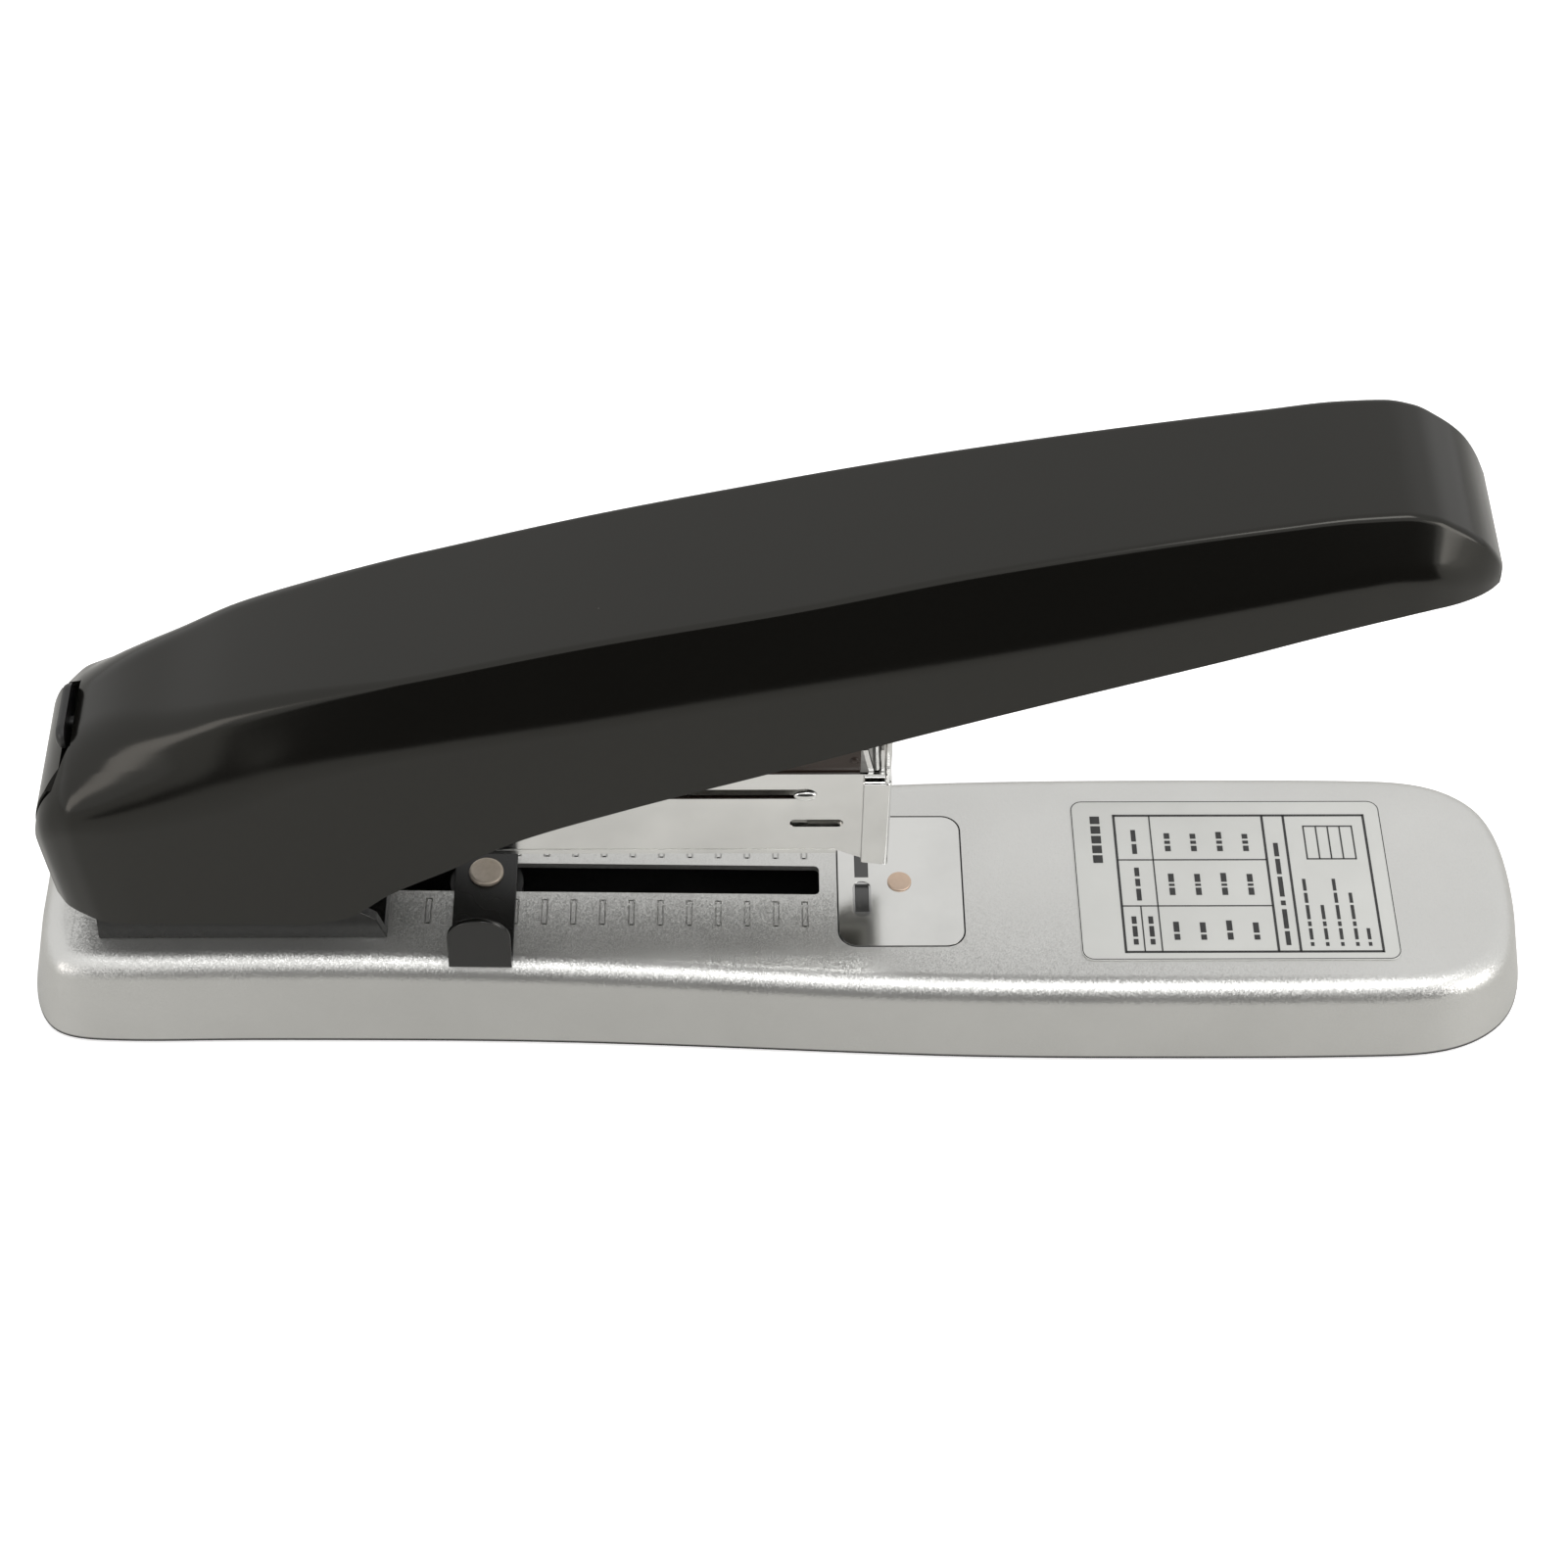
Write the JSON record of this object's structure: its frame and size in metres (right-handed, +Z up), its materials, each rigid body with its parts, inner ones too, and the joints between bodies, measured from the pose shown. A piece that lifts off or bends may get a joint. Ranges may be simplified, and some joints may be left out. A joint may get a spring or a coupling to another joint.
{
  "type": "long reach stapler",
  "caption": "Desk stapler with a long base, sliding paper guide, chrome magazine and a long press-down handle.",
  "frame": {"origin": "middle of the base's footprint, on the desk", "axes": "+X towards the front end of the base, +Y to the far side, +Z up"},
  "size_m": [0.2622, 0.055, 0.1191],
  "materials": {
    "silver_paint": "metallic silver, fine sparkle",
    "gloss_black": "gloss",
    "black_plastic": "matte",
    "button_plastic": "satin",
    "rubber": "matte",
    "chrome": "bright plated",
    "steel": "zinc plated",
    "spring_steel": "drawn wire",
    "dark_steel": "dark brown satin",
    "black_steel": "satin black",
    "copper_rivet": "dull",
    "label": "satin foil"
  },
  "bodies": {
    "base": {"base_shell": "silver_paint", "base_tray": "black_plastic", "rubber_feet": "rubber", "anvil_plate": "chrome", "anvil_rivet": "copper_rivet", "label_plate": "label", "hinge_bracket": "black_steel", "bracket_rivets": "steel", "hinge_pin": "steel", "pin_clips": "steel", "lift_spring": "spring_steel"},
    "paper_guide": {"guide_strip": "black_steel", "guide_slider": "black_plastic", "guide_rivet": "copper_rivet"},
    "magazine": {"magazine_channel": "chrome", "inner_channel": "dark_steel", "front_cap": "chrome", "staple_rail": "steel", "rail_support": "black_plastic", "pusher_rod": "steel", "pusher_spring": "spring_steel", "rear_cap": "gloss_black", "handle_spring": "spring_steel"},
    "pusher": {"staple_pusher": "steel"},
    "driver": {"driver_blade": "steel", "driver_holder": "steel", "holder_rivets": "steel"},
    "release_button": {"release_button": "button_plastic"},
    "handle": {"handle_cover": "gloss_black", "handle_frame": "dark_steel", "drive_pin": "steel", "cover_screws": "steel"}
  },
  "joints": [
    {"name": "handle_press", "type": "hinge", "parent": "base", "child": "handle", "pos_m": [-0.106, 0, 0.045], "axis": [0, 1, 0], "range_deg": [0, 16], "deforming": ["handle_spring", "lift_spring"]},
    {"name": "magazine_tilt", "type": "hinge", "parent": "base", "child": "magazine", "pos_m": [-0.106, 0, 0.045], "axis": [0, 1, 0], "range_deg": [0, 7.4]},
    {"name": "driver_slide", "type": "slide", "parent": "magazine", "child": "driver", "axis": [0, 0, -1], "range_m": [0, 0.0197]},
    {"name": "pusher_slide", "type": "slide", "parent": "magazine", "child": "pusher", "axis": [-1, 0, 0], "range_m": [0, 0.084], "deforming": ["pusher_spring"]},
    {"name": "guide_slide", "type": "slide", "parent": "base", "child": "paper_guide", "axis": [0.9998, 0, -0.02], "range_m": [-0.01, 0.05]},
    {"name": "button_press", "type": "slide", "parent": "magazine", "child": "release_button", "axis": [1, 0, 0], "range_m": [0, 0.001]}
  ],
  "couplings": [
    {"joint": "magazine_tilt", "follows": "handle_press", "ratio": 0.45625},
    {"joint": "driver_slide", "follows": "handle_press", "m_per_rad": 0.07015}
  ]
}
